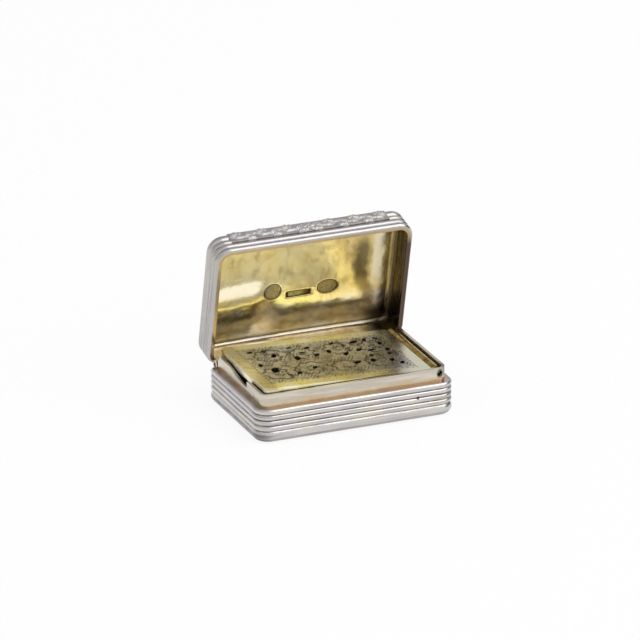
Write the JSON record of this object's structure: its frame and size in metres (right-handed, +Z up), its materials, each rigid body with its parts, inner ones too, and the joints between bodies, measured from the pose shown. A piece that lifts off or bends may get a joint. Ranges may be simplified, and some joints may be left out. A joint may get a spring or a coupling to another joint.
{
  "type": "silver vinaigrette",
  "caption": "Small rectangular reeded silver box with a hinged lid and, inside, a hinged pierced gilt grille that holds a scented sponge down.",
  "frame": {"origin": "middle of the underside of the base", "axes": "+X along the box towards the grille's hinge, +Y from the front to the lid's hinge, +Z up"},
  "size_m": [0.032, 0.0248, 0.0263],
  "materials": {
    "silver": "polished sterling silver, worn, with dark tarnish in the grooves",
    "gilt": "worn gilding on silver",
    "sponge": "dry natural sponge"
  },
  "bodies": {
    "base": {"base_band": "silver", "base_floor": "silver", "bezel": "gilt", "lid_hinge_pin": "silver", "base_knuckle_1": "silver", "base_knuckle_2": "silver", "base_knuckle_3": "silver", "base_knuckle_4": "silver", "grille_tube_back": "gilt", "grille_tube_front": "gilt", "grille_hinge_pin": "silver", "sponge": "sponge"},
    "lid": {"lid_band": "silver", "lid_panel": "gilt", "thumbpiece": "silver", "lid_knuckle_1": "silver", "lid_knuckle_2": "silver", "lid_knuckle_3": "silver"},
    "grille": {"grille_plate": "gilt", "grille_lip": "gilt", "grille_knuckle": "gilt"}
  },
  "joints": [
    {"name": "lid_hinge", "type": "hinge", "parent": "base", "child": "lid", "pos_m": [0, 0.00985, 0.00532], "axis": [-1, 0, 0], "range_deg": [-77.5, 22]},
    {"name": "grille_hinge", "type": "hinge", "parent": "base", "child": "grille", "pos_m": [0.0137, 0, 0.00655], "axis": [0, 1, 0], "range_deg": [-2.4, 2.4]}
  ]
}
